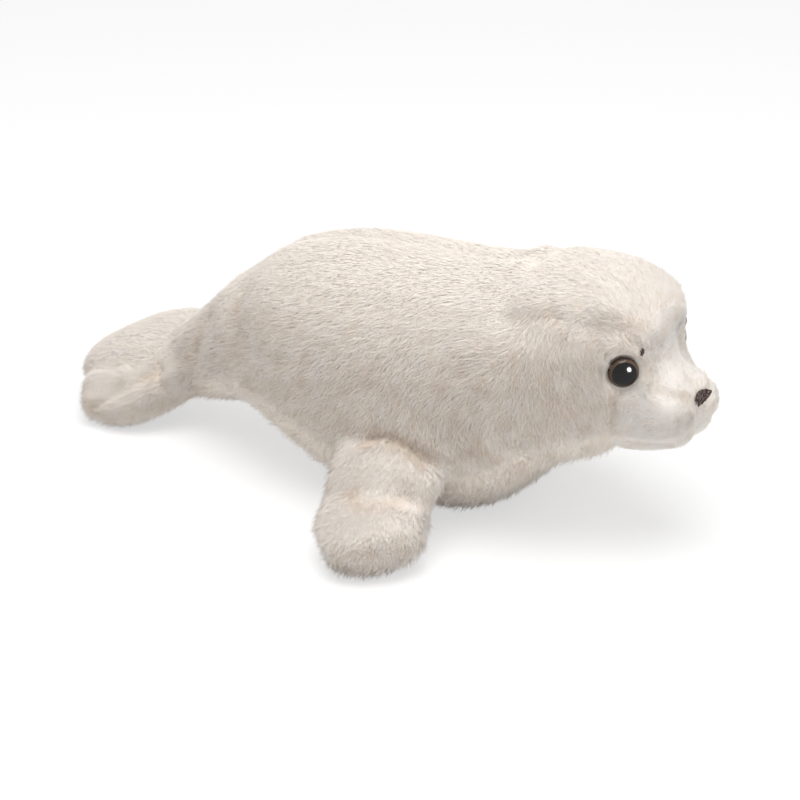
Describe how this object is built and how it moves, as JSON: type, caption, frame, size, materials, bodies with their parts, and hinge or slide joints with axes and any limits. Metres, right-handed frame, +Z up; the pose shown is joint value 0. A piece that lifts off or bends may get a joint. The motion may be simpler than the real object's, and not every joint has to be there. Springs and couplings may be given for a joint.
{
  "type": "plush seal",
  "caption": "Stuffed plush seal pup lying on its belly, with cream pile, a rounded head, dark plastic eyes, a stitched nose, and spread front and hind flippers.",
  "frame": {"origin": "centre of the bounding box's underside, where the belly meets the floor", "axes": "+X towards the nose, +Y towards the animal's left, +Z up"},
  "size_m": [0.3184, 0.207, 0.1232],
  "materials": {
    "plush": "long cream pile",
    "short_plush": "short cream pile",
    "fibre": "loose white fibre",
    "eye_plastic": "polished",
    "washer_plastic": "moulded",
    "thread": "satin stitch"
  },
  "bodies": {
    "root": {"left_side_panel": "plush", "right_side_panel": "plush", "belly_panel": "plush", "crown_panel": "plush", "left_cheek_panel": "short_plush", "right_cheek_panel": "short_plush", "bridge_panel": "short_plush", "chin_panel": "short_plush", "body_filling": "fibre", "left_front_flipper_top": "plush", "left_front_flipper_bottom": "plush", "left_front_flipper_filling": "fibre", "right_front_flipper_top": "plush", "right_front_flipper_bottom": "plush", "right_front_flipper_filling": "fibre", "left_hind_flipper_top": "plush", "left_hind_flipper_bottom": "plush", "left_hind_flipper_filling": "fibre", "right_hind_flipper_top": "plush", "right_hind_flipper_bottom": "plush", "right_hind_flipper_filling": "fibre", "left_eye": "eye_plastic", "right_eye": "eye_plastic", "left_eye_washer": "washer_plastic", "right_eye_washer": "washer_plastic", "nose_stitching": "thread", "left_brow_stitching": "thread", "right_brow_stitching": "thread"}
  },
  "joints": []
}
